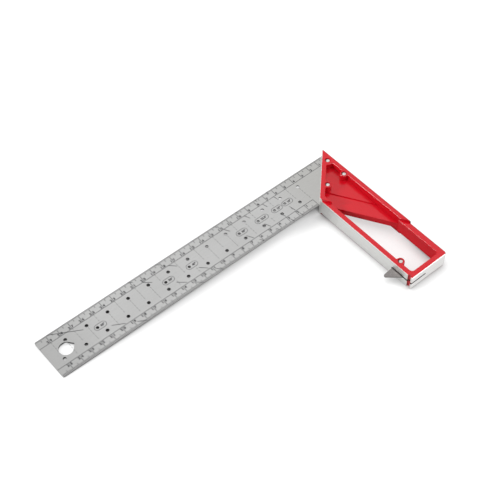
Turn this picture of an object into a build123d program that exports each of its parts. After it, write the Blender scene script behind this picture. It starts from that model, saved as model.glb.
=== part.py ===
from build123d import *
import math
import os

# Layout square: a steel blade riveted into a cast stock, with a support ledge that swings out of the stock.
# Millimetres. The origin is the inside corner, where the blade's inner edge meets the stock's inner face,
# on the blade's middle plane. +X runs along the blade, +Y along the stock, +Z up.

# Blade
blade_reach = 260.0
blade_width = 40.0
blade_thickness = 1.0
blade_bevel_width = 2.0
blade_bevel_drop = 0.2
blade_corner_radius = 1.0
blade_tail_wall = 2.0

# Holes of the blade
scribe_hole_diameter = 3.0
scribe_pitch = 20.0
scribe_row_share = 0.325
scribe_end_margin = 10.0
angle_hole_diameter = 2.6
angle_hole_shares = (0.0804, 0.125, 0.1946, 0.2735, 0.4762, 0.5681, 0.825)
hang_hole_radius = 6.0
hang_hole_inset = 16.0
hang_hole_peak_angle = 102.0

# Stock
stock_width = 40.0
stock_reach = 108.0
stock_thickness = 14.0
head_thickness = 19.0
head_back_reach = 67.3
head_foot = 2.0
head_slope_run = 0.3
mitre_rim = 4.4
head_back_rim = 4.4
back_rim = 5.4
inner_rim = 5.0
end_rim = 5.0
floor_thickness = 7.4
panel_thickness = 5.6
panel_width = 14.0
window_near_radius = 3.0
window_far_radius = 2.6
end_corner_radius = 2.5
tip_radius = 0.6
rim_edge_radius = 0.8
blade_slot_play = 0.03

# Rivets of the blade
rivet_diameter = 3.4
rivet_head_diameter = 3.6
rivet_head_height = 0.7
rivet_recess_diameter = 4.8
rivet_recess_depth = 0.8
rivet_play = 0.04
rivet_row_inset = 7.0
back_rivet_inset = 5.6
mitre_rivet_inset = 8.6
tip_rivet_rise = 12.8
tip_boss_radius = 5.0
rivet_boss_radius = 3.4
boss_blend_radius = 0.8

# Support ledge and its pivot
pivot_inset = 5.8
pivot_end_inset = 18.6
pivot_boss_radius = 3.5
ledge_thickness = 1.0
ledge_heel_radius = 3.2
ledge_edge_length = 18.8
ledge_tilt = 5.0
ledge_nose_angle = 46.0
ledge_nose_radius = 1.5
ledge_shoulder_depth = 1.0
ledge_slot_height = 1.5
ledge_play = 0.2
washer_diameter = 5.8
washer_play = 0.02
thumb_groove_radius = 1.7
thumb_groove_inset = 3.0

# Length by which a cutting shape runs past the surface that it cuts
overrun = 1.0
# Largest miss at which two places count as the same
size_tolerance = 0.001
# Place halfway along an edge
middle_share = 0.5

stock_half = stock_thickness / 2
head_half = head_thickness / 2
back_x = -stock_width
blade_tail_x = back_x + blade_tail_wall
blade_middle_y = -blade_width / 2
pivot_x = -pivot_inset
pivot_y = stock_reach - pivot_end_inset
head_slope = (head_back_reach - head_foot) / stock_width


def head_edge_y(x):
    """The slanted lower side of the head, as a place along the stock for a place across it."""
    return head_foot - head_slope * x


def slab(outline, half_thickness):
    """A flat outline, equally thick above and below the blade's middle plane."""
    return extrude(Pos(0, 0, -half_thickness) * outline, amount=2 * half_thickness)


def above(outline, floor_z, top_z):
    """A cutting shape from a floor up past the top, for one side of the stock."""
    return extrude(Pos(0, 0, floor_z) * outline, amount=top_z + overrun - floor_z)


def both_sides(shape):
    """A shape and its mirror image below the blade's middle plane."""
    return shape + mirror(shape, about=Plane.XY)


def drilled(x, y, diameter, half_depth):
    """A round hole straight through, along Z."""
    return Pos(x, y, 0) * Cylinder(diameter / 2, 2 * (half_depth + overrun))


# Rivet places, all within the blade's hidden part
rivet_places = {
    "blade_rivet_tip": (back_x + back_rivet_inset, -stock_width + tip_rivet_rise),
    "blade_rivet_back": (back_x + back_rivet_inset, -rivet_row_inset),
    "blade_rivet_mitre": (-rivet_row_inset - mitre_rivet_inset, -rivet_row_inset),
}
rivet_bosses = {
    "blade_rivet_tip": tip_boss_radius,
    "blade_rivet_back": rivet_boss_radius,
    "blade_rivet_mitre": rivet_boss_radius,
}


def make_blade():
    """The rule: a plate with bevelled long edges, scribing holes, angle holes and a hole to hang it by.

    Its outer edge runs on along the mitre, right up to the stock's tip.
    """
    half = blade_thickness / 2
    edge_half = half - blade_bevel_drop
    section = Polygon(
        (0, edge_half),
        (-blade_bevel_width, half),
        (blade_bevel_width - blade_width, half),
        (-blade_width, edge_half),
        (-blade_width, -edge_half),
        (blade_bevel_width - blade_width, -half),
        (-blade_bevel_width, -half),
        (0, -edge_half),
        align=None,
    )
    start_x = min(back_x, -blade_width)
    bar = extrude(Plane.YZ.offset(start_x) * section, amount=blade_reach - start_x)
    plan = Polygon(
        (blade_tail_x, 0),
        (blade_tail_x, blade_tail_x - blade_slot_play),
        (blade_slot_play - blade_width, -blade_width),
        (blade_reach, -blade_width),
        (blade_reach, 0),
        align=None,
    )
    plan = fillet(plan.vertices().group_by(Axis.X)[-1], blade_corner_radius)
    blade = bar & slab(plan, blade_thickness)

    holes = []
    last_x = blade_reach - scribe_end_margin
    row_inset = scribe_row_share * blade_width
    for row_y, first_x in ((row_inset - blade_width, 0), (-row_inset, scribe_pitch / 2)):
        count = int((last_x - first_x) // scribe_pitch) + 1
        for k in range(count):
            holes.append(drilled(first_x + k * scribe_pitch, row_y, scribe_hole_diameter, blade_thickness))
    for share in angle_hole_shares:
        holes.append(drilled(share * blade_reach, blade_middle_y, angle_hole_diameter, blade_thickness))
    for x, y in rivet_places.values():
        holes.append(drilled(x, y, rivet_diameter + 2 * rivet_play, blade_thickness))

    hang_x = blade_reach - hang_hole_inset
    half_peak = math.radians(hang_hole_peak_angle / 2)
    peak = hang_hole_radius / math.sin(half_peak)
    touch_x = hang_hole_radius * math.sin(half_peak)
    touch_y = hang_hole_radius * math.cos(half_peak)
    teardrop = Circle(hang_hole_radius) + Polygon(
        (-peak, 0), (-touch_x, -touch_y), (0, 0), (-touch_x, touch_y), align=None
    )
    holes.append(slab(Pos(hang_x, blade_middle_y) * teardrop, blade_thickness))
    return blade - holes


def head_slope_cut():
    """The wedge that slopes the head down to the thinner frame, along its slanted lower side."""
    length = math.hypot(stock_width, head_back_reach - head_foot)
    along = Vector(-stock_width, head_back_reach - head_foot, 0) / length
    inward = Vector(-along.Y, along.X, 0)
    rise = head_half - stock_half
    run_past = head_slope_run * (rise + overrun) / rise
    wedge = Polygon(
        (0, stock_half),
        (run_past, head_half + overrun),
        (-overrun, head_half + overrun),
        (-overrun, stock_half),
        align=None,
    )
    side = Plane(origin=(0, head_foot, 0), x_dir=inward, z_dir=along).offset(-stock_width)
    return extrude(side * wedge, amount=length + 2 * stock_width)


def boss_in(outline, x, y, radius):
    """An opening's outline with a round boss left standing in it, blended into the rim on both sides."""
    outline = outline - Pos(x, y) * Circle(radius)
    rim_corners = []
    for corner in outline.vertices():
        if abs(math.hypot(corner.X - x, corner.Y - y) - radius) < size_tolerance:
            rim_corners.append(corner)
    return fillet(rim_corners, boss_blend_radius)


def window_outline():
    """The hand opening between the rims and the slanted side of the head."""
    left = back_x + back_rim
    right = -inner_rim
    end = stock_reach - end_rim
    outline = Polygon(
        (right, head_edge_y(right)), (right, end), (left, end), (left, head_edge_y(left)), align=None
    )
    near = outline.vertices().sort_by_distance((right, end, 0))[0]
    outline = fillet(near, window_near_radius)
    far = outline.vertices().sort_by_distance((left, end, 0))[0]
    outline = fillet(far, window_far_radius)
    return boss_in(outline, pivot_x, pivot_y, pivot_boss_radius)


def pocket_outline():
    """The hollow of the head, inside its rims and round the bosses of the rivets."""
    left = back_x + head_back_rim
    window_left = back_x + back_rim
    right = -inner_rim
    rim_rise = mitre_rim * math.sqrt(2)
    outline = Polygon(
        (left, left + rim_rise),
        (right, right + rim_rise),
        (right, head_edge_y(right) + overrun),
        (window_left, head_edge_y(window_left) + overrun),
        (window_left, head_edge_y(window_left)),
        (left, head_edge_y(left)),
        align=None,
    )
    for name, (x, y) in rivet_places.items():
        outline = boss_in(outline, x, y, rivet_bosses[name])
    return outline


def panel_outline():
    """The bare sunk band along the slanted side of the head."""
    band_rise = panel_width * math.hypot(1, head_slope)
    left = back_x
    band = Polygon(
        (0, head_edge_y(0) - band_rise),
        (0, head_edge_y(0) + stock_width),
        (left, head_edge_y(left) + stock_width),
        (left, head_edge_y(left) - band_rise),
        align=None,
    )
    return band


def ledge_outline():
    """The ledge from above, swung out: a round heel, a straight edge, a blunt nose and a slanted back."""
    tilt = math.radians(ledge_tilt)
    slant = math.radians(180 - ledge_nose_angle + ledge_tilt)
    heel = Vector(math.sin(tilt), -math.cos(tilt), 0) * ledge_heel_radius
    nose = heel + Vector(math.cos(tilt), math.sin(tilt), 0) * ledge_edge_length
    shoulder_run = (nose.X - pivot_inset + ledge_shoulder_depth) / -math.cos(slant)
    shoulder = nose + Vector(math.cos(slant), math.sin(slant), 0) * shoulder_run
    turn = math.atan2(shoulder.Y, shoulder.X)
    turn += math.acos(ledge_heel_radius / math.hypot(shoulder.X, shoulder.Y))
    back = Vector(math.cos(turn), math.sin(turn), 0) * ledge_heel_radius
    corners = [Vector(0, 0, 0), heel, nose, shoulder, back]
    plate = Polygon(*[(corner.X, corner.Y) for corner in corners], align=None)
    tip = plate.vertices().sort_by_distance(nose)[0]
    plate = fillet(tip, ledge_nose_radius)
    return Pos(pivot_x, pivot_y) * (plate + Circle(ledge_heel_radius))


def ledge_slot():
    """The saw cut through the stock's free corner that the ledge swings in."""
    nose_run = ledge_edge_length - ledge_nose_radius / math.tan(math.radians(ledge_nose_angle / 2))
    nose_reach = math.hypot(nose_run, ledge_heel_radius - ledge_nose_radius) + ledge_nose_radius
    swing = nose_reach + ledge_play
    rise = stock_reach - end_rim - pivot_y
    far_x = pivot_x - math.sqrt(swing * swing - rise * rise)
    start_y = pivot_y - ledge_heel_radius - ledge_play
    cut = Polygon(
        (far_x, start_y),
        (overrun, start_y),
        (overrun, stock_reach + overrun),
        (far_x, stock_reach + overrun),
        align=None,
    )
    return slab(cut, ledge_slot_height / 2)


def edges_round(stock, outline, half):
    """The edges where an opening of this outline meets the flat rims at one height, above and below."""
    brim = outline.face().outer_wire()
    picked = []
    for edge in stock.edges():
        middle = edge.position_at(middle_share)
        level = abs(edge.tangent_at(middle_share).Z) < size_tolerance
        on_rim = abs(abs(middle.Z) - half) < size_tolerance
        if level and on_rim and brim.distance_to((middle.X, middle.Y, 0)) < size_tolerance:
            picked.append(edge)
    return picked


def back_edges(stock):
    """The long edges of the back face, above and below."""
    picked = []
    for edge in stock.edges().filter_by(Axis.Y):
        middle = edge.position_at(middle_share)
        if middle.X - back_x < size_tolerance and abs(middle.Z) > stock_half - size_tolerance:
            picked.append(edge)
    return picked


def make_stock():
    """The cast stock: a head that clasps the blade, a frame round the hand opening, and a sawn corner."""
    tip = (back_x, -stock_width)
    plan = Polygon(tip, (0, 0), (0, stock_reach), (back_x, stock_reach), align=None)
    corner = plan.vertices().sort_by_distance((back_x, stock_reach, 0))[0]
    plan = fillet(corner, end_corner_radius)
    plan = fillet(plan.vertices().sort_by_distance(tip)[0], tip_radius)
    head = Polygon(tip, (0, 0), (0, head_foot), (back_x, head_back_reach), align=None)
    head = fillet(head.vertices().sort_by_distance(tip)[0], tip_radius)
    raised = slab(head, head_half) - both_sides(head_slope_cut())
    stock = slab(plan, stock_half) + raised

    window = window_outline()
    stock -= slab(window, head_half + overrun)
    pocket = pocket_outline()
    stock -= both_sides(above(pocket, floor_thickness / 2, head_half))
    stock -= both_sides(above(pocket & panel_outline(), panel_thickness / 2, head_half))
    stock = fillet(edges_round(stock, pocket, head_half), rim_edge_radius)
    stock = fillet(edges_round(stock, window, stock_half), rim_edge_radius)
    stock = fillet(back_edges(stock), rim_edge_radius)

    slot_half = blade_thickness / 2 + blade_slot_play
    slot_tail = blade_tail_x - blade_slot_play
    blade_slot = Polygon(
        (slot_tail, 0),
        (slot_tail, -stock_width - overrun),
        (overrun, -stock_width - overrun),
        (overrun, 0),
        align=None,
    )
    stock -= slab(blade_slot, slot_half)
    stock -= ledge_slot()
    groove = Pos(0, stock_reach - thumb_groove_inset, 0) * Cylinder(thumb_groove_radius, head_thickness)
    stock -= groove

    bored = rivet_diameter + 2 * rivet_play
    seats = [(place, head_half) for place in rivet_places.values()]
    seats.append(((pivot_x, pivot_y), stock_half))
    for (x, y), half in seats:
        stock -= drilled(x, y, bored, half)
        recess = Pos(x, y) * Circle(rivet_recess_diameter / 2)
        stock -= both_sides(above(recess, half - rivet_recess_depth, half))
    return stock


def make_rivet(x, y, half):
    """A rivet through the stock, with a low domed head peened into the recess on each side."""
    shank_radius = rivet_diameter / 2
    head_radius = rivet_head_diameter / 2
    seat = half - rivet_recess_depth
    top = seat + rivet_head_height
    rim = seat + rivet_head_height / 2
    dome = top - rim
    ball = (head_radius * head_radius + dome * dome) / (2 * dome)
    half_out = head_radius / 2
    crown = ThreePointArc(
        (head_radius, rim),
        (half_out, top - ball + math.sqrt(ball * ball - half_out * half_out)),
        (0, top),
    )
    walls = Polyline(
        (0, top),
        (0, 0),
        (shank_radius, 0),
        (shank_radius, seat),
        (head_radius, seat),
        (head_radius, rim),
    )
    section = Plane.XZ * make_face(crown + walls)
    return Pos(x, y, 0) * both_sides(revolve(section, Axis.Z))


def make_washer(side):
    """A thin washer that fills the saw cut beside the ledge and drags on it, so that it stays put."""
    gap = (ledge_slot_height - ledge_thickness) / 2
    thickness = gap - 2 * washer_play
    ring = Circle(washer_diameter / 2) - Circle(rivet_diameter / 2 + rivet_play)
    low = ledge_thickness / 2 + washer_play
    upper = Pos(pivot_x, pivot_y, 0) * extrude(Pos(0, 0, low) * ring, amount=thickness)
    return upper if side > 0 else mirror(upper, about=Plane.XY)


def make_ledge():
    """The support ledge, swung out as it is used."""
    bore = Pos(pivot_x, pivot_y) * Circle(rivet_diameter / 2 + rivet_play)
    return slab(ledge_outline() - bore, ledge_thickness / 2)


parts = {
    "blade": make_blade(),
    "stock": make_stock(),
    "ledge": make_ledge(),
    "ledge_rivet": make_rivet(pivot_x, pivot_y, stock_half),
    "ledge_washer_upper": make_washer(1),
    "ledge_washer_lower": make_washer(-1),
}
for rivet_name, (rivet_x, rivet_y) in rivet_places.items():
    parts[rivet_name] = make_rivet(rivet_x, rivet_y, head_half)

os.makedirs("parts", exist_ok=True)
for node, shape in parts.items():
    shape.label = node
    export_step(shape, f"parts/{node}.step")
    print(node, "volume", round(shape.volume, 2), "solids", len(shape.solids()))
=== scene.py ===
# %% [markdown]
# A layout square: a steel rule riveted into a red cast stock, with a small support ledge that swings out of
# the stock's free corner. The solids come from a CAD model, so this lesson starts by loading them, in
# metres, with the origin at the inside corner of the square. The solids stay as they are. What is made here
# is their finish, the scales and figures etched into the rule, a table top, the light and the camera.

# %% Load the solids
import math

import bmesh
import bpy
from mathutils import Matrix, Vector


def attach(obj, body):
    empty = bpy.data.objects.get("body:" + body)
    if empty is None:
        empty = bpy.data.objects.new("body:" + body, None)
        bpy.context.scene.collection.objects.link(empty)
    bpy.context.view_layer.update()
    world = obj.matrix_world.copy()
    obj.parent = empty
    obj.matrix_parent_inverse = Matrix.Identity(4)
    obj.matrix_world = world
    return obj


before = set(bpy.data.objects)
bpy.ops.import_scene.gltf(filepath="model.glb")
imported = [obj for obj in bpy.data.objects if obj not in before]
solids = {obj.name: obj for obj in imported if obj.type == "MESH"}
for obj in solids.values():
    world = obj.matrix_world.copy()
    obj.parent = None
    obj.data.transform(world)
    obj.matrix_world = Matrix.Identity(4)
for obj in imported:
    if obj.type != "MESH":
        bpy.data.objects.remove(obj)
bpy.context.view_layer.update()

mm = 0.001
scene = bpy.context.scene
print("solids", sorted(solids))

# %% [markdown]
# The camera stands nearly a metre off, on the open side between the rule and the stock, and looks down at
# the square with a long lens. Its place and directions were measured from the even rows of holes in the
# rule: they are known to be 20 mm apart, so they show the perspective. A camera looks along its own -Z with
# +Y up, so its matrix is put together from the directions to the right, upwards and backwards.

# %% Camera
camera_place = Vector((0.43102, 0.42135, 0.70771))
camera_right = Vector((-0.76522, 0.64367, -0.01140)).normalized()
camera_down = Vector((0.50911, 0.59423, -0.62265))
camera_back = camera_down.cross(camera_right).normalized()
camera_up = camera_back.cross(camera_right)
camera_turn = Matrix((camera_right, camera_up, camera_back)).transposed().to_4x4()
camera_data = bpy.data.cameras.new("camera")
camera_data.sensor_width = 36.0
camera_data.lens = 82.44
camera = bpy.data.objects.new("camera", camera_data)
camera.matrix_world = Matrix.Translation(camera_place) @ camera_turn
scene.collection.objects.link(camera)
scene.camera = camera
scene.view_settings.view_transform = "Standard"
print("camera looks along", [round(part, 3) for part in -camera_back])

# %% [markdown]
# The square doesn't lie flat. Its head is thicker than the rest of the stock, and the rule is thin, so on a
# table it rests on three points: the head's inside corner, the stock's end and the rule's free end. A plane
# through these points is the table top, a hair below them.

# %% Table top
rest_points = [Vector((0, 0, -9.5)) * mm, Vector((0, 108, -7)) * mm, Vector((260, -2, -0.5)) * mm]
table_gap = 0.4 * mm
table_reach = 4.0
straight_up = Vector((0, 0, 1))
table_up = (rest_points[2] - rest_points[0]).cross(rest_points[1] - rest_points[0]).normalized()
table_place = Matrix.Translation(rest_points[0] - table_up * table_gap)
table_turn = straight_up.rotation_difference(table_up).to_matrix().to_4x4()
table_mesh = bmesh.new()
bmesh.ops.create_grid(
    table_mesh, x_segments=1, y_segments=1, size=table_reach, matrix=table_place @ table_turn
)


def make_object(name, shape):
    """A finished shape as an object at the origin."""
    mesh = bpy.data.meshes.new(name)
    shape.to_mesh(mesh)
    shape.free()
    made = bpy.data.objects.new(name, mesh)
    scene.collection.objects.link(made)
    return made


table = make_object("table_top", table_mesh)
print("table leans", round(math.degrees(table_up.angle(straight_up)), 2), "degrees")


# %% [markdown]
# Node trees are easier to read when the wiring is short. These helpers add a node, feed a socket with a
# number or with another node's output, and do sums. Every finish below uses them, and every pattern is laid
# out on Object coordinates, which are metres in the square's own frame. Cloudy noise seldom comes near 0 or
# 1, so two named spans say where most of it lies.

# %% Helpers for finishes
noise_span = (0.2, 0.8)
noise_middle = (0.3, 0.7)


def add_node(tree, kind, **settings):
    """A new node with the given settings."""
    node = tree.nodes.new(kind)
    for key, value in settings.items():
        setattr(node, key, value)
    return node


def feed(tree, socket, value):
    """Links a socket to another node's output, or gives it a plain value."""
    if isinstance(value, bpy.types.NodeSocket):
        tree.links.new(value, socket)
    else:
        socket.default_value = value


def sums(tree, operation, *values):
    """A sum of one, two or three values."""
    node = add_node(tree, "ShaderNodeMath", operation=operation)
    for socket, value in zip(node.inputs, values):
        feed(tree, socket, value)
    return node.outputs[0]


def times(tree, product, *others):
    """The product of two or more values."""
    for other in others:
        product = sums(tree, "MULTIPLY", product, other)
    return product


def left_over(tree, share):
    """What a share leaves of 1."""
    return sums(tree, "SUBTRACT", 1.0, share)


def fade(tree, value, start, end, low=0.0, high=1.0):
    """A value turned into a smooth change from low to high between a start and an end."""
    node = add_node(tree, "ShaderNodeMapRange", interpolation_type="SMOOTHSTEP")
    numbers = {"Value": value, "From Min": start, "From Max": end, "To Min": low, "To Max": high}
    for name, number in numbers.items():
        feed(tree, node.inputs[name], number)
    return node.outputs[0]


def axes_of(tree, kind):
    """X, Y and Z of one kind of texture coordinates."""
    node = add_node(tree, "ShaderNodeSeparateXYZ")
    feed(tree, node.inputs[0], add_node(tree, "ShaderNodeTexCoord").outputs[kind])
    return node.outputs[:]


def mottle(tree, place, grain, detail=2.0):
    """Cloudy noise, with its own number of clouds per metre along each axis."""
    mapping = add_node(tree, "ShaderNodeMapping")
    feed(tree, mapping.inputs["Vector"], place)
    mapping.inputs["Scale"].default_value = grain
    noise = add_node(tree, "ShaderNodeTexNoise")
    feed(tree, noise.inputs["Vector"], mapping.outputs[0])
    noise.inputs["Scale"].default_value = 1.0
    noise.inputs["Detail"].default_value = detail
    return noise.outputs[0]


def mix_colours(tree, share, first, second):
    """A colour between two others. A Mix node takes colours at its sockets 6 and 7, and gives one at 2."""
    node = add_node(tree, "ShaderNodeMix", data_type="RGBA")
    feed(tree, node.inputs[0], share)
    feed(tree, node.inputs[6], first)
    feed(tree, node.inputs[7], second)
    return node.outputs[2]


def emboss(tree, shader, height, depth):
    """Fine relief: a height from 0 to 1 that stands for a depth in metres."""
    bump = add_node(tree, "ShaderNodeBump")
    bump.inputs["Distance"].default_value = depth
    feed(tree, bump.inputs["Height"], height)
    feed(tree, shader.inputs["Normal"], bump.outputs[0])


def new_finish(name):
    """A material, its node tree, its shader and its Object coordinates."""
    material = bpy.data.materials.new(name)
    material.use_nodes = True
    tree = material.node_tree
    place = add_node(tree, "ShaderNodeTexCoord").outputs["Object"]
    return material, tree, tree.nodes["Principled BSDF"], place


def dress(thing, material):
    """Gives an object one finish all over."""
    thing.data.materials.clear()
    thing.data.materials.append(material)


# %% [markdown]
# The table top is matt white: part paper, which takes the lamps' shadows, and part glow, so that it is pure
# white in the open, as in a picture that is lit for a white ground. The glow is dimmed where something
# stands close over the table, with three reaches: a wide one all round, a near one for the gap under the
# rule, and a short one at the foot of the stock's walls. What stands there is looked for along a line that
# leans a little, so the shade falls more to one side. The rest goes by place: the shade is deeper in the
# inside corner, between the rule and the stock, and less deep beside the panel in the stock's frame.

# %% Table shade
wide_reach = 40 * mm
near_reach = 12 * mm
foot_reach = 8 * mm
shade_lean = Vector((0.0, -0.12, 1.0)).normalized()
deep_shade = (0.06, 0.3, 0.0, 0.75)
soft_shade = (0.3, 0.88, 0.0, 0.25)
near_shade = (0.2, 0.4)
foot_depth = 0.8
rule_front = (0 * mm, 5 * mm)
inner_side = (-3 * mm, -1 * mm)
window_end = (60 * mm, 95 * mm)
stock_back = (-42 * mm, -38 * mm)
stock_end = (109 * mm, 106 * mm)
panel_least = 0.85
corner_stretch = (0.7, 1.3)
corner_shade = (32 * mm, 8 * mm, 0.0, 0.27)
corner_front = (-4 * mm, 6 * mm)

paper = bpy.data.materials.new("white_table")
paper.use_nodes = True
tree = paper.node_tree
lean = add_node(tree, "ShaderNodeCombineXYZ")
for socket, value in zip(lean.inputs, shade_lean):
    socket.default_value = value


def open_share(tree, reach):
    """How much of the space over the table is free within a reach, from 0 to 1."""
    node = add_node(tree, "ShaderNodeAmbientOcclusion")
    node.inputs["Distance"].default_value = reach
    feed(tree, node.inputs["Normal"], lean.outputs[0])
    return node.outputs["AO"]


along_x, along_y = axes_of(tree, "Object")[:2]
rays = add_node(tree, "ShaderNodeLightPath").outputs
straight = rays["Is Camera Ray"]
by_stock = fade(tree, along_y, *rule_front)
by_inner_face = fade(tree, along_x, *inner_side)
by_window_end = fade(tree, along_y, *window_end)
behind_inner_face = times(tree, left_over(tree, by_inner_face), fade(tree, along_x, *stock_back))
in_frame = times(tree, by_stock, behind_inner_face, fade(tree, along_y, *stock_end))

openness = open_share(tree, wide_reach)
shade = sums(tree, "ADD", fade(tree, openness, *deep_shade), fade(tree, openness, *soft_shade))
near_open = fade(tree, open_share(tree, near_reach), *near_shade)
shade = times(tree, shade, sums(tree, "MAXIMUM", near_open, by_stock))
by_wall = times(tree, sums(tree, "MAXIMUM", by_inner_face, by_window_end), by_stock, foot_depth, straight)
foot_shade = times(tree, by_wall, left_over(tree, open_share(tree, foot_reach)))
shade = times(tree, shade, left_over(tree, foot_shade))
by_panel = times(tree, in_frame, left_over(tree, by_window_end))
shade = sums(tree, "MAXIMUM", shade, times(tree, by_panel, panel_least))
corner_x = times(tree, along_x, corner_stretch[0])
corner_y = times(tree, along_y, corner_stretch[1])
corner_off = sums(tree, "MULTIPLY_ADD", corner_x, corner_x, times(tree, corner_y, corner_y))
in_corner = fade(tree, sums(tree, "SQRT", corner_off), *corner_shade)
in_corner = times(tree, in_corner, fade(tree, along_y, *corner_front))
shade = times(tree, shade, left_over(tree, in_corner))
print("table shade has", len(tree.nodes), "nodes")

# %% [markdown]
# Now the two parts of the table are put together. The glow is only for what the camera sees, straight or
# mirrored in metal, and lights nothing. The camera sees the paper paler than it is for the light that it
# throws back, so that light stays low. Inside the stock's frame it is the other way round: there the paper
# throws a lot of light up at the red walls, as white paper does, and is mirrored weakly, so the coat stays
# a full red.

# %% Table paper and glow
table_white = 0.2
table_seen = 0.38
table_glow = 0.7
table_mirrored = 0.5
frame_white = 0.75
frame_dimming = 0.8

lighting = times(tree, in_frame, rays["Is Diffuse Ray"])
thrown_back = fade(tree, lighting, 0.0, 1.0, table_white, frame_white)
seen_white = times(tree, straight, table_seen)
whiteness = sums(tree, "MULTIPLY_ADD", thrown_back, left_over(tree, straight), seen_white)
matt = add_node(tree, "ShaderNodeBsdfDiffuse")
feed(tree, matt.inputs["Color"], whiteness)
mirrored = sums(tree, "MAXIMUM", rays["Is Glossy Ray"], rays["Is Transmission Ray"])
mirrored = times(tree, mirrored, left_over(tree, times(tree, in_frame, frame_dimming)))
strength = sums(tree, "MULTIPLY_ADD", mirrored, table_mirrored, times(tree, straight, table_glow))
glow = add_node(tree, "ShaderNodeEmission")
feed(tree, glow.inputs["Strength"], times(tree, shade, strength))
both = add_node(tree, "ShaderNodeAddShader")
feed(tree, both.inputs[0], matt.outputs[0])
feed(tree, both.inputs[1], glow.outputs[0])
feed(tree, tree.nodes["Material Output"].inputs["Surface"], both.outputs[0])
paper.cycles.emission_sampling = "NONE"
dress(table, paper)
print("whole table finish has", len(tree.nodes), "nodes")

# %% [markdown]
# The light is plain and soft, as in a white tent. A white world gives light, less of it from low down, and
# shows as plain white behind the square and in reflections. A big lamp overhead adds to it. A small one low
# on the left draws bright lines along the rounded edges and leaves the left side of the hollow in shade,
# and a wide one low on the right lights the stock's end. The overhead lamp is left out of reflections, or
# the steel would mirror it.

# %% Light
world_white = (1.0, 1.0, 1.0, 1.0)
world_rise = (0.0, 0.6)
world_light = (0.15, 0.5)
world_seen = 1.0
lamp_aim = Vector((0.08, 0.02, 0.0))
overhead = {"power": 21.0, "size": 2.0, "offset": Vector((-0.3, -0.4, 2.0))}
left_side = {"power": 25.0, "size": 0.38, "offset": Vector((1.6, -0.9, 0.8))}
right_side = {"power": 14.0, "size": 1.2, "offset": Vector((-0.7, 1.7, 0.8))}


def seen_rays(tree):
    """1 for what the camera sees straight, in a reflection or through glass, and 0 for plain lighting."""
    rays = add_node(tree, "ShaderNodeLightPath").outputs
    straight_or_mirrored = sums(tree, "MAXIMUM", rays["Is Camera Ray"], rays["Is Glossy Ray"])
    return sums(tree, "MAXIMUM", straight_or_mirrored, rays["Is Transmission Ray"])


world = bpy.data.worlds.new("white_room")
world.use_nodes = True
scene.world = world
tree = world.node_tree
sky = tree.nodes["Background"]
sky.inputs["Color"].default_value = world_white
upward = axes_of(tree, "Generated")[2]
light = fade(tree, upward, *world_rise, *world_light)
feed(tree, sky.inputs["Strength"], fade(tree, seen_rays(tree), 0.0, 1.0, light, world_seen))


def hang_lamp(name, power, size, offset):
    """A square soft lamp that looks at the square."""
    lamp_data = bpy.data.lights.new(name, "AREA")
    lamp_data.size = size
    lamp_data.energy = power
    lamp = bpy.data.objects.new(name, lamp_data)
    turn = offset.to_track_quat("Z", "Y").to_matrix().to_4x4()
    lamp.matrix_world = Matrix.Translation(lamp_aim + offset) @ turn
    scene.collection.objects.link(lamp)
    return lamp


hang_lamp("overhead_lamp", **overhead).visible_glossy = False
hang_lamp("left_lamp", **left_side)
hang_lamp("right_lamp", **right_side)
lamp_distances = [round(lamp["offset"].length, 2) for lamp in (overhead, left_side, right_side)]
print("lamps stand off by", lamp_distances, "metres")

# %% [markdown]
# The stock is cast metal with a red coat. After coating, its working faces are milled: the inner face, the
# end, the mitre face and the back. So one solid has two finishes. The mill cuts through the coat along
# exact planes, so the bare places can be found from the distance to each plane, with no painting by hand. A
# hair's breadth of bare metal shows round a milled face, where the coat chips. The saw cut for the ledge
# isn't bare: its inside is painted near black, as painted shade.

# %% Milled faces
stock_width = 40 * mm
stock_reach = 108 * mm
flat_miss = 0.02 * mm
face_fade = (1.0, 0.5)
chip_width = 0.5 * mm
chip_grain = (900, 900, 900)
slot_half = 0.76 * mm
slot_depth = 16.4 * mm
slot_start = 86 * mm


def near_face(tree, depth, width):
    """1 on a milled plane and 0 from a width below it, for a depth under that plane."""
    return fade(tree, sums(tree, "DIVIDE", depth, width), *face_fade)


coat, tree, shader, place = new_finish("red_coat_and_milled_faces")
along_x, along_y, along_z = axes_of(tree, "Object")
chip = times(tree, mottle(tree, place, chip_grain), 2 * chip_width)
inner_depth = times(tree, along_x, -1.0)
end_depth = sums(tree, "SUBTRACT", stock_reach, along_y)
mitre_depth = times(tree, sums(tree, "SUBTRACT", along_y, along_x), math.sqrt(0.5))
back_depth = sums(tree, "ADD", along_x, stock_width)
bare = near_face(tree, back_depth, flat_miss)
for depth in (inner_depth, end_depth, mitre_depth):
    bare = sums(tree, "MAXIMUM", bare, near_face(tree, depth, chip))

within_cut = sums(tree, "LESS_THAN", sums(tree, "ABSOLUTE", along_z), slot_half)
before_cut_floor = sums(tree, "LESS_THAN", inner_depth, slot_depth)
in_slot = times(tree, within_cut, before_cut_floor, sums(tree, "GREATER_THAN", along_y, slot_start))
bare = times(tree, bare, left_over(tree, in_slot))
print("milled faces take", len(tree.nodes), "nodes")
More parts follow.
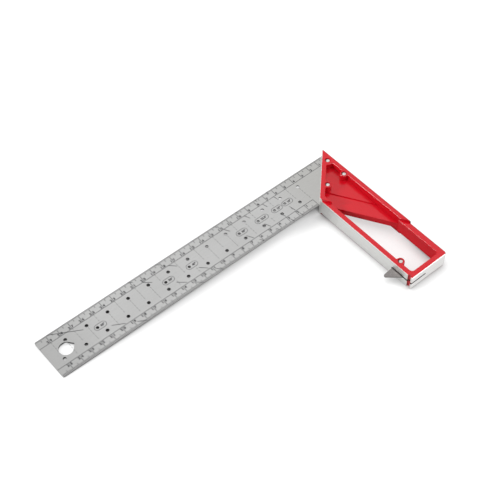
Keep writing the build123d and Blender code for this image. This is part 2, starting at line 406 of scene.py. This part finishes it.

# %% [markdown]
# The bare share from the last step now mixes everything: the colour, the metal, the gloss and the relief.
# The coat is glossy, with a slight orange peel. A strip of darker red along the edge beside the back is
# painted shade. Milling leaves fine lines along a face, and the end is cut with a duller mill than the
# others.

# %% Coat and bare metal
coat_red = (0.6, 0.002, 0.013, 1.0)
coat_deep_red = (0.53, 0.001, 0.008, 1.0)
coat_grain = (70, 70, 70)
coat_roughness = (0.18, 0.24)
peel_grain = (1400, 1400, 1400)
# painted shade: a dark red for the strip along the edge beside the back face
back_edge_shade_red = (0.16, 0.004, 0.008, 1.0)
back_edge_shade_width = 0.7 * mm
# painted shade: near black for the inside of the saw cut
slot_shade_black = (0.02, 0.008, 0.008, 1.0)
milled_bright = (0.93, 0.93, 0.91, 1.0)
milled_grey = (0.84, 0.84, 0.82, 1.0)
milled_roughness = (0.3, 0.42)
mill_grain = (25, 25, 6000)
mill_detail = 4.0
end_bright = (0.94, 0.93, 0.92, 1.0)
end_grey = (0.84, 0.83, 0.82, 1.0)
end_dulling = 0.3
stock_relief = 0.012 * mm

clouds = mottle(tree, place, coat_grain)
red = mix_colours(tree, clouds, coat_red, coat_deep_red)
# painted shade: the coat turns dark red within a strip beside the back face
red = mix_colours(tree, near_face(tree, back_depth, back_edge_shade_width), red, back_edge_shade_red)
# painted shade: the inside of the saw cut is painted near black
red = mix_colours(tree, in_slot, red, slot_shade_black)
mill_lines = mottle(tree, place, mill_grain, mill_detail)
mill_share = fade(tree, mill_lines, *noise_middle)
on_end = near_face(tree, end_depth, flat_miss)
metal = mix_colours(tree, mill_share, milled_bright, milled_grey)
metal = mix_colours(tree, on_end, metal, mix_colours(tree, mill_share, end_bright, end_grey))
feed(tree, shader.inputs["Base Color"], mix_colours(tree, bare, red, metal))
feed(tree, shader.inputs["Metallic"], bare)
coat_gloss = fade(tree, clouds, *noise_span, *coat_roughness)
milled_gloss = fade(tree, mill_lines, *noise_span, *milled_roughness)
milled_gloss = sums(tree, "ADD", milled_gloss, times(tree, on_end, end_dulling))
gloss_step = times(tree, bare, sums(tree, "SUBTRACT", milled_gloss, coat_gloss))
feed(tree, shader.inputs["Roughness"], sums(tree, "ADD", coat_gloss, gloss_step))
milled_relief = times(tree, bare, mill_lines)
coat_relief = times(tree, left_over(tree, bare), mottle(tree, place, peel_grain))
emboss(tree, shader, sums(tree, "ADD", milled_relief, coat_relief), stock_relief)
dress(solids["stock"], coat)
print("stock finish has", len(tree.nodes), "nodes")

# %% [markdown]
# The rule is satin stainless steel, ground along its length. Grinding leaves countless fine streaks, which
# make the steel duller across than along. Noise that is stretched along X gives the streaks. They change
# the gloss and the relief a little, and the colour hardly at all, so from a step away the steel is an even
# grey. By the stock it is painted darker and warmer, a painted reflection of the red stock, and towards the
# free end it is painted darker, a painted dimming of its reflection. The cut edges keep the dark skin of
# the cut, darkened further as painted shade, and the walls of the holes are painted near black as painted
# shade. They are found by their facing, which is level.

# %% Rule
steel_light = (0.59, 0.59, 0.585, 1.0)
steel_dark = (0.53, 0.53, 0.525, 1.0)
# painted reflection: darker, warmer steel near the stock, for the red stock mirrored in it
steel_red_reflection = (0.485, 0.48, 0.46, 1.0)
red_reflection_reach = (30 * mm, -10 * mm, 0.0, 0.7)
# painted reflection: darker steel towards the free end, for a dimmer reflection there
steel_dim_reflection = (0.475, 0.475, 0.47, 1.0)
dim_reflection_reach = (200 * mm, 258 * mm)
# dark skin of the cut on the rule's edges, darkened further as painted shade
steel_cut_skin_and_shade = (0.2, 0.2, 0.2, 1.0)
# painted shade: near black for the walls of the holes
hole_shade_black = (0.015, 0.015, 0.015, 1.0)
level_facing = 0.5
edge_margin = 1 * mm
half_width = 20 * mm
free_end = 260 * mm
streak_grain = (60, 5000, 5000)
streak_detail = 5.0
streak_share = 0.6
streak_relief = 0.004 * mm
patch_grain = (18, 30, 30)
patch_share = 0.4
satin_roughness = (0.26, 0.36)

satin, tree, shader, place = new_finish("satin_steel")
shader.inputs["Metallic"].default_value = 1.0
along_x, along_y = axes_of(tree, "Object")[:2]
streaks = mottle(tree, place, streak_grain, streak_detail)
patches = mottle(tree, place, patch_grain)
tone = sums(tree, "ADD", times(tree, streaks, streak_share), times(tree, patches, patch_share))
ground = mix_colours(tree, fade(tree, tone, *noise_middle), steel_light, steel_dark)
# painted reflection of the red stock, fading out along the rule
ground = mix_colours(tree, fade(tree, along_x, *red_reflection_reach), ground, steel_red_reflection)
# painted reflection: the steel darkens towards the free end
ground = mix_colours(tree, fade(tree, along_x, *dim_reflection_reach), ground, steel_dim_reflection)
facing_up = sums(tree, "ABSOLUTE", axes_of(tree, "Normal")[2])
cut = sums(tree, "LESS_THAN", facing_up, level_facing)
from_middle = sums(tree, "ABSOLUTE", sums(tree, "ADD", along_y, half_width))
inside_edges = sums(tree, "LESS_THAN", from_middle, half_width - edge_margin)
in_hole = times(tree, inside_edges, sums(tree, "LESS_THAN", along_x, free_end - edge_margin))
# painted shade: hole walls near black; cut edges dark, partly the cut's skin and partly painted shade
cut_skin_and_shade = mix_colours(tree, in_hole, steel_cut_skin_and_shade, hole_shade_black)
feed(tree, shader.inputs["Base Color"], mix_colours(tree, cut, ground, cut_skin_and_shade))
feed(tree, shader.inputs["Roughness"], fade(tree, streaks, *noise_span, *satin_roughness))
emboss(tree, shader, streaks, streak_relief)
dress(solids["blade"], satin)
print("rule finish has", len(tree.nodes), "nodes")

# %% [markdown]
# Scales are etched into steel rules with acid and blackened. The etched line is as good as flat, so each
# mark here is a thin closed plate that lies on the rule and stands a fiftieth of a millimetre proud. All
# marks of one kind are laid flat in one mesh first. Then the mesh is trimmed at the rule's edges and split
# where its bevels begin, each point is lifted to the rule's surface, and one extrude gives all the plates
# their thickness. Places are given in millimetres, along the rule from the stock's inner face and across it
# from the inner edge, as on a drawing.

# %% Etched marks
rule_width = 40.0
rule_reach = 260.0
rule_half = 0.5
bevel_width = 2.0
bevel_drop = 0.2
etch_height = 0.04
etch_sink = 0.02
cut_reach = 1e-7
line_width = 0.42
etch_black = (0.025, 0.025, 0.028, 1.0)
etch_grey = (0.07, 0.07, 0.072, 1.0)
etch_grain = (2500, 2500, 2500)
etch_roughness = (0.5, 0.7)


def rule_top(across):
    """Half the rule's thickness at a place across it, with its two bevels."""
    edge = min(-across, rule_width + across)
    return rule_half - bevel_drop * max(0.0, 1 - edge / bevel_width)


def lay_line(marks, start, end, width=line_width):
    """A straight mark, as a flat strip from one place to another."""
    first, last = Vector(start), Vector(end)
    run = last - first
    middle = (first + last) / 2 * mm
    turn = Matrix.Rotation(math.atan2(run.y, run.x), 4, "Z")
    size = Matrix.Diagonal((run.length * mm, width * mm, 1, 1))
    place = Matrix.Translation((middle.x, middle.y, 0)) @ turn @ size
    bmesh.ops.create_grid(marks, x_segments=1, y_segments=1, size=0.5, matrix=place)


def cut_across(marks, across, outward, trim):
    """Splits flat marks along a line on the rule, and where trim is true drops what lies outward of it."""
    everything = marks.verts[:] + marks.edges[:] + marks.faces[:]
    spot = (0, across * mm, 0)
    bmesh.ops.bisect_plane(
        marks, geom=everything, dist=cut_reach, plane_co=spot, plane_no=(0, outward, 0), clear_outer=trim
    )


def etch(name, marks, side=1):
    """Turns flat marks into thin plates on the rule's upper side, or on its under side where side is -1."""
    cut_across(marks, 0.0, 1, True)
    cut_across(marks, -rule_width, -1, True)
    cut_across(marks, -bevel_width, 1, False)
    cut_across(marks, bevel_width - rule_width, 1, False)
    for vertex in marks.verts:
        vertex.co.z = side * (rule_top(vertex.co.y / mm) - etch_sink) * mm
    grown = bmesh.ops.extrude_face_region(marks, geom=marks.faces[:])["geom"]
    lifted = [item for item in grown if isinstance(item, bmesh.types.BMVert)]
    bmesh.ops.translate(marks, verts=lifted, vec=(0, 0, side * etch_height * mm))
    bmesh.ops.recalc_face_normals(marks, faces=marks.faces[:])
    open_edges = [edge for edge in marks.edges if len(edge.link_faces) != 2]
    print(name, "has", len(marks.faces), "faces and", len(open_edges), "open edges")
    made = make_object(name, marks)
    dress(made, etching)
    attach(made, "square")


etching, tree, shader, place = new_finish("blackened_etching")
etch_clouds = mottle(tree, place, etch_grain)
feed(tree, shader.inputs["Base Color"], mix_colours(tree, etch_clouds, etch_black, etch_grey))
feed(tree, shader.inputs["Roughness"], fade(tree, etch_clouds, *noise_span, *etch_roughness))
print("etching finish has", len(tree.nodes), "nodes")

# %% [markdown]
# The rule has a scale along each long edge. The outer one counts from the stock's back face, the inner one
# from its inner face, so the rule can measure outside and inside a corner. Each scale has a short line for
# every millimetre, a longer one for every fifth, one across the whole band for every tenth, and a border
# line along the band.

# %% Scales
back_face = -40.0
band_depth = 8.0
mitre_margin = 0.5
outer_lengths = {"short": 1.6, "fifth": 3.4}
inner_lengths = {"short": 2.2, "fifth": 3.6}


def division_length(step, lengths):
    """How far the line of a millimetre reaches from the rule's edge."""
    if step % 10 == 0:
        return band_depth
    return lengths["fifth"] if step % 5 == 0 else lengths["short"]


def lay_scales(marks):
    """The lines of both scales, and the two border lines."""
    outer_border = band_depth - rule_width
    inner_border = -band_depth
    lay_line(marks, (outer_border + mitre_margin, outer_border), (rule_reach, outer_border))
    lay_line(marks, (0, inner_border), (rule_reach, inner_border))
    for step in range(1, int(rule_reach - back_face)):
        length = division_length(step, outer_lengths)
        along = back_face + step
        if along > length - rule_width + mitre_margin:
            lay_line(marks, (along, -rule_width), (along, length - rule_width))
    for step in range(int(rule_reach)):
        lay_line(marks, (step, 0), (step, -division_length(step, inner_lengths)))


marks = bmesh.new()
lay_scales(marks)
etch("rule_scales", marks)

# %% [markdown]
# The figures stand at the border lines and count centimetres. They read from the stock's side of the
# square, with their heads towards the outer edge, so they are turned half round. A figure of two digits
# straddles its line. Each digit is set once as text, made a flat mesh while it is still at the origin, and
# then copied to its places. Filling an outline can leave a sliver on top of another face. It shows as an
# edge with more than two faces, and is deleted.

# %% Figures
figure_height = 2.5
figure_weight = 0.16
digit_offset = 1.45
outer_gap = 0.6
inner_gap = 0.5
outer_last = 29
inner_last = 25
letter_steps = 3
outer_figures = band_depth - rule_width - outer_gap - figure_height / 2
inner_figures = -band_depth + inner_gap + figure_height / 2
read_from_above = Matrix.Rotation(math.pi, 4, "Z")
set_text = {}


def set_words(words):
    """Plain lettering as a flat mesh, one unit high, with its middle at the origin."""
    curve = bpy.data.curves.new("lettering", "FONT")
    curve.body = words
    curve.resolution_u = letter_steps
    curve.offset = figure_weight / figure_height
    line = bpy.data.objects.new("lettering", curve)
    scene.collection.objects.link(line)
    bpy.context.view_layer.update()
    flat = bpy.data.meshes.new_from_object(line.evaluated_get(bpy.context.evaluated_depsgraph_get()))
    bpy.data.objects.remove(line)
    shape = bmesh.new()
    shape.from_mesh(flat)
    crowded = [edge.link_faces for edge in shape.edges if len(edge.link_faces) > 2]
    slivers = {min(faces, key=lambda face: face.calc_area()) for faces in crowded}
    bmesh.ops.delete(shape, geom=list(slivers), context="FACES")
    shape.to_mesh(flat)
    shape.free()
    corners = [vertex.co for vertex in flat.vertices]
    low = Vector([min(corner[axis] for corner in corners) for axis in range(3)])
    high = Vector([max(corner[axis] for corner in corners) for axis in range(3)])
    flat.transform(Matrix.Scale(1 / (high.y - low.y), 4) @ Matrix.Translation(-(low + high) / 2))
    return flat


def lay_text(marks, words, height, along, across, turn):
    """Lettering of a given height, centred on a place of the rule."""
    if words not in set_text:
        set_text[words] = set_words(words)
    copy = set_text[words].copy()
    copy.transform(Matrix.Translation((along * mm, across * mm, 0)) @ turn @ Matrix.Scale(height * mm, 4))
    marks.from_mesh(copy)
    bpy.data.meshes.remove(copy)


def lay_figures(marks, zero, last, across, turn, reading):
    """The figures of one scale. Reading is 1 where the text runs along +X and -1 where it runs along -X."""
    for number in range(1, last + 1):
        tens, units = divmod(number, 10)
        tick = zero + number * 10
        if tens:
            lay_text(marks, str(tens), figure_height, tick - reading * digit_offset, across, turn)
        lay_text(marks, str(units), figure_height, tick + reading * digit_offset, across, turn)


def lay_both_figures(marks, turn, reading):
    """The figures of the outer and of the inner scale."""
    lay_figures(marks, back_face, outer_last, outer_figures, turn, reading)
    lay_figures(marks, 0.0, inner_last, inner_figures, turn, reading)


marks = bmesh.new()
lay_both_figures(marks, read_from_above, -1)
etch("rule_figures", marks)

# %% [markdown]
# Seven small holes along the middle of the rule set common angles. Each sits at one end of a slot-shaped
# frame with its angle written beside it, and a slanted line through the hole shows that angle where it
# leaves the scales. A frame starts as a circle. Its left half is moved away, which makes it a slot, and an
# inset leaves the outline.

# %% Angle marks
rule_middle = -rule_width / 2
frame_height = 5.6
frame_width = 0.36
frame_length = 11.0
long_frame_length = 13.6
frame_segments = 40
label_height = 2.3
label_start = 1.2
slant_width = 0.52
slant_runs = ((0.0, 3.0), (8.0, 13.0), (25.5, 31.0), (35.5, 39.5))
steep_label = "60°"
steep_runs = ((0.0, 14.5), (25.5, 31.0), (35.5, 39.5))
angle_holes = {
    "10°": 20.9,
    "15°": 32.5,
    "22.5°": 50.6,
    "30°": 71.1,
    "45°": 123.8,
    "50°": 147.7,
    steep_label: 214.5,
}


def label_frame_length(label):
    """The length of the frame round a label, which is longer where the angle has a decimal."""
    return long_frame_length if "." in label else frame_length


def lay_frame(marks, hole, length):
    """A slot-shaped outline with the hole at the centre of its rounded end."""
    half_step = Matrix.Rotation(math.pi / frame_segments, 4, "Z")
    place = Matrix.Translation((hole * mm, rule_middle * mm, 0)) @ half_step
    made = bmesh.ops.create_circle(
        marks, cap_ends=True, segments=frame_segments, radius=frame_height / 2 * mm, matrix=place
    )
    plate = made["verts"][0].link_faces[0]
    far_half = [vertex for vertex in made["verts"] if vertex.co.x < hole * mm]
    bmesh.ops.translate(marks, verts=far_half, vec=((frame_height - length) * mm, 0, 0))
    bmesh.ops.inset_region(
        marks, faces=[plate], thickness=frame_width * mm, use_boundary=True, use_even_offset=True
    )
    bmesh.ops.delete(marks, geom=[plate], context="FACES_ONLY")


marks = bmesh.new()
for label, hole in angle_holes.items():
    length = label_frame_length(label)
    lay_frame(marks, hole, length)
    label_middle = hole - (length - frame_height / 2 + label_start) / 2
    lay_text(marks, label, label_height, label_middle, rule_middle, read_from_above)
    slant = math.tan(math.radians(float(label.rstrip("°"))))
    for start, end in steep_runs if label == steep_label else slant_runs:
        ends = [(hole - (run + rule_middle) * slant, run - rule_width) for run in (start, end)]
        lay_line(marks, ends[0], ends[1], slant_width)
etch("rule_angle_marks", marks)

# %% [markdown]
# At every centimetre a fine dashed line crosses the rule, from the border line of one scale to just short
# of a scribing hole in the row beside the other scale. The lines lead the eye from the hole that a pencil
# goes into to the scale. They are thinner than the scales' lines, and stop where a frame of an angle mark
# is in the way.

# %% Dashed lines
hole_pairs = 13
hole_pitch = 20.0
hole_inset = 13.0
hole_clear = 2.2
dash_width = 0.24
dash_length = 2.0
dash_pitch = 3.0
frame_margin = 0.6


def in_a_frame(along, across):
    """True where a place lies in or close to the frame of an angle mark."""
    if abs(across - rule_middle) > frame_height / 2 + frame_margin:
        return False
    for label, hole in angle_holes.items():
        far = hole - label_frame_length(label) + frame_height / 2 - frame_margin
        if far < along < hole + frame_height / 2 + frame_margin:
            return True
    return False


def lay_dashes(marks, along, start, end):
    """A dashed line straight across the rule."""
    across = start
    while across + dash_length < end:
        if not in_a_frame(along, across) and not in_a_frame(along, across + dash_length):
            lay_line(marks, (along, across), (along, across + dash_length), dash_width)
        across += dash_pitch


marks = bmesh.new()
for pair in range(hole_pairs):
    along = pair * hole_pitch
    lay_dashes(marks, along, hole_inset - rule_width + hole_clear, -band_depth)
    lay_dashes(marks, along + hole_pitch / 2, band_depth - rule_width, -hole_inset - hole_clear)
etch("rule_dashes", marks)

# %% [markdown]
# A square is turned over as often as not, so the under side gets the two scales as well. The lines are the
# same. The figures are turned about the rule's long axis, so that they read the right way round from below.

# %% Under side
read_from_below = Matrix.Rotation(math.pi, 4, "X")
marks = bmesh.new()
lay_scales(marks)
lay_both_figures(marks, read_from_below, 1)
etch("rule_under_scales", marks, -1)

# %% [markdown]
# The rivets are soft bright metal, peened over by hammer blows, so their heads are a little uneven. A ring
# of painted shade lies round the edge of each head, more of it on one side. The ledge is plain steel with a
# dull grey skin. A strip of it is painted dark as shade where it comes out of the saw cut. The washers that
# drag on it are thin bright steel. The three share one recipe with other colours and relief: metal with
# clouds in its tone and gloss, and a place of painted shade where one is named.

# %% Rivets, ledge and washers
# painted shade: the dark colour for the shaded places on the rivets and the ledge
painted_shade_dark = (0.06, 0.05, 0.05, 1.0)
skin_detail = 4.0
dome_lean = 0.15
dome_edge = (0.975, 0.925)
mouth_strip = (1.1 * mm, 0.6 * mm)
rivet_colours = ((0.86, 0.79, 0.77, 1.0), (0.7, 0.64, 0.62, 1.0))
rivet_skin = {"gloss": (0.18, 0.3), "grain": 900, "relief": 0.05 * mm}
ledge_colours = ((0.3, 0.28, 0.275, 1.0), (0.25, 0.235, 0.23, 1.0))
ledge_skin = {"gloss": (0.5, 0.65), "grain": 1200, "relief": 0.01 * mm}
washer_colours = ((0.6, 0.6, 0.6, 1.0), (0.5, 0.5, 0.5, 1.0))
washer_skin = {"gloss": (0.3, 0.42), "grain": 1200, "relief": 0.008 * mm}


def head_edge(tree):
    """Painted shade: 1 round the edge of a domed rivet head, found by its tilt from an axis that leans a
    little.
    """
    facing = axes_of(tree, "Normal")
    upright = sums(tree, "ABSOLUTE", facing[2])
    return fade(tree, sums(tree, "MULTIPLY_ADD", facing[1], dome_lean, upright), *dome_edge)


def slot_mouth(tree):
    """Painted shade: 1 on the strip of the ledge that lies in the mouth of its saw cut."""
    return fade(tree, axes_of(tree, "Object")[0], *mouth_strip)


def plain_metal(name, colours, gloss, grain, relief, shaded_place=None):
    """Bare metal with a slightly uneven skin, painted dark as shade where the given function says."""
    material, tree, shader, place = new_finish(name)
    shader.inputs["Metallic"].default_value = 1.0
    skin = mottle(tree, place, (grain, grain, grain), skin_detail)
    tone = mix_colours(tree, fade(tree, skin, *noise_middle), *colours)
    if shaded_place:
        # painted shade where the named place function is 1
        tone = mix_colours(tree, shaded_place(tree), tone, painted_shade_dark)
    feed(tree, shader.inputs["Base Color"], tone)
    feed(tree, shader.inputs["Roughness"], fade(tree, skin, *noise_span, *gloss))
    emboss(tree, shader, skin, relief)
    return material


# painted shade: a dark ring round each rivet head
rivet_metal = plain_metal("peened_rivet", rivet_colours, **rivet_skin, shaded_place=head_edge)
# painted shade: the ledge is darkened where it enters the saw cut
ledge_steel = plain_metal("dull_ledge_steel", ledge_colours, **ledge_skin, shaded_place=slot_mouth)
washer_steel = plain_metal("washer_steel", washer_colours, **washer_skin)
for node, solid in solids.items():
    if "rivet" in node:
        dress(solid, rivet_metal)
    elif "washer" in node:
        dress(solid, washer_steel)
dress(solids["ledge"], ledge_steel)
print("plain metals on", [node for node in sorted(solids) if node not in ("stock", "blade")])
